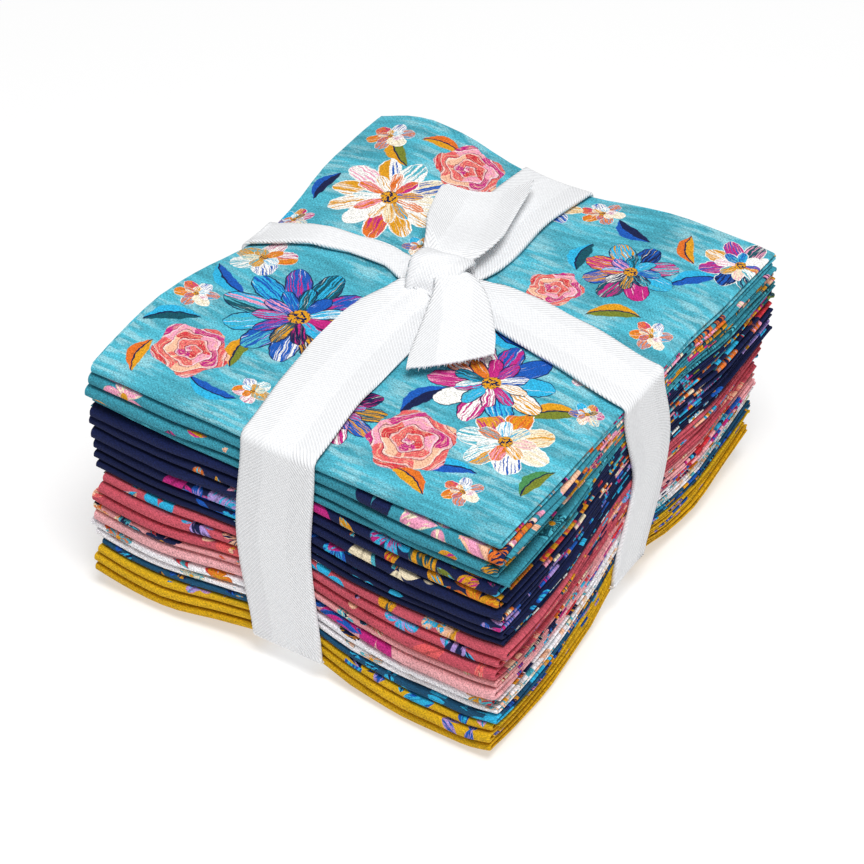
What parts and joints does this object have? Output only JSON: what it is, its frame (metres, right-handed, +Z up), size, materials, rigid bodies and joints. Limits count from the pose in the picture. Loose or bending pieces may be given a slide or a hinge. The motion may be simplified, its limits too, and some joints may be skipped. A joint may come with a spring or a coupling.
{
  "type": "fat quarter bundle",
  "caption": "Block of quilting cotton cuts, each folded small and laid flat in a stack, tied both ways with a flat woven ribbon that is knotted on top.",
  "frame": {"origin": "on the surface that the bundle rests on, under the middle of its bounding box", "axes": "+Z up through the stack; -Y is the front, where each cut shows one round fold; +X is the side where the layered folds show"},
  "size_m": [0.1374, 0.1552, 0.0904],
  "materials": {
    "cotton_teal": "matte plain-weave cotton, printed",
    "cotton_navy": "matte plain-weave cotton, printed",
    "cotton_coral": "matte plain-weave cotton, printed",
    "cotton_pink": "matte plain-weave cotton, printed",
    "cotton_white": "matte plain-weave cotton, printed",
    "cotton_gold": "matte plain-weave cotton, printed",
    "ribbon_tape": "matte woven twill tape"
  },
  "bodies": {
    "root": {"quarter_01": "cotton_teal", "quarter_02": "cotton_teal", "quarter_03": "cotton_teal", "quarter_04": "cotton_teal", "quarter_05": "cotton_navy", "quarter_06": "cotton_navy", "quarter_07": "cotton_navy", "quarter_08": "cotton_navy", "quarter_09": "cotton_navy", "quarter_10": "cotton_navy", "quarter_11": "cotton_coral", "quarter_12": "cotton_coral", "quarter_13": "cotton_coral", "quarter_14": "cotton_pink", "quarter_15": "cotton_pink", "quarter_16": "cotton_white", "quarter_17": "cotton_white", "quarter_18": "cotton_gold", "quarter_19": "cotton_gold", "quarter_20": "cotton_gold", "quarter_21": "cotton_gold", "ribbon": "ribbon_tape"}
  },
  "joints": []
}
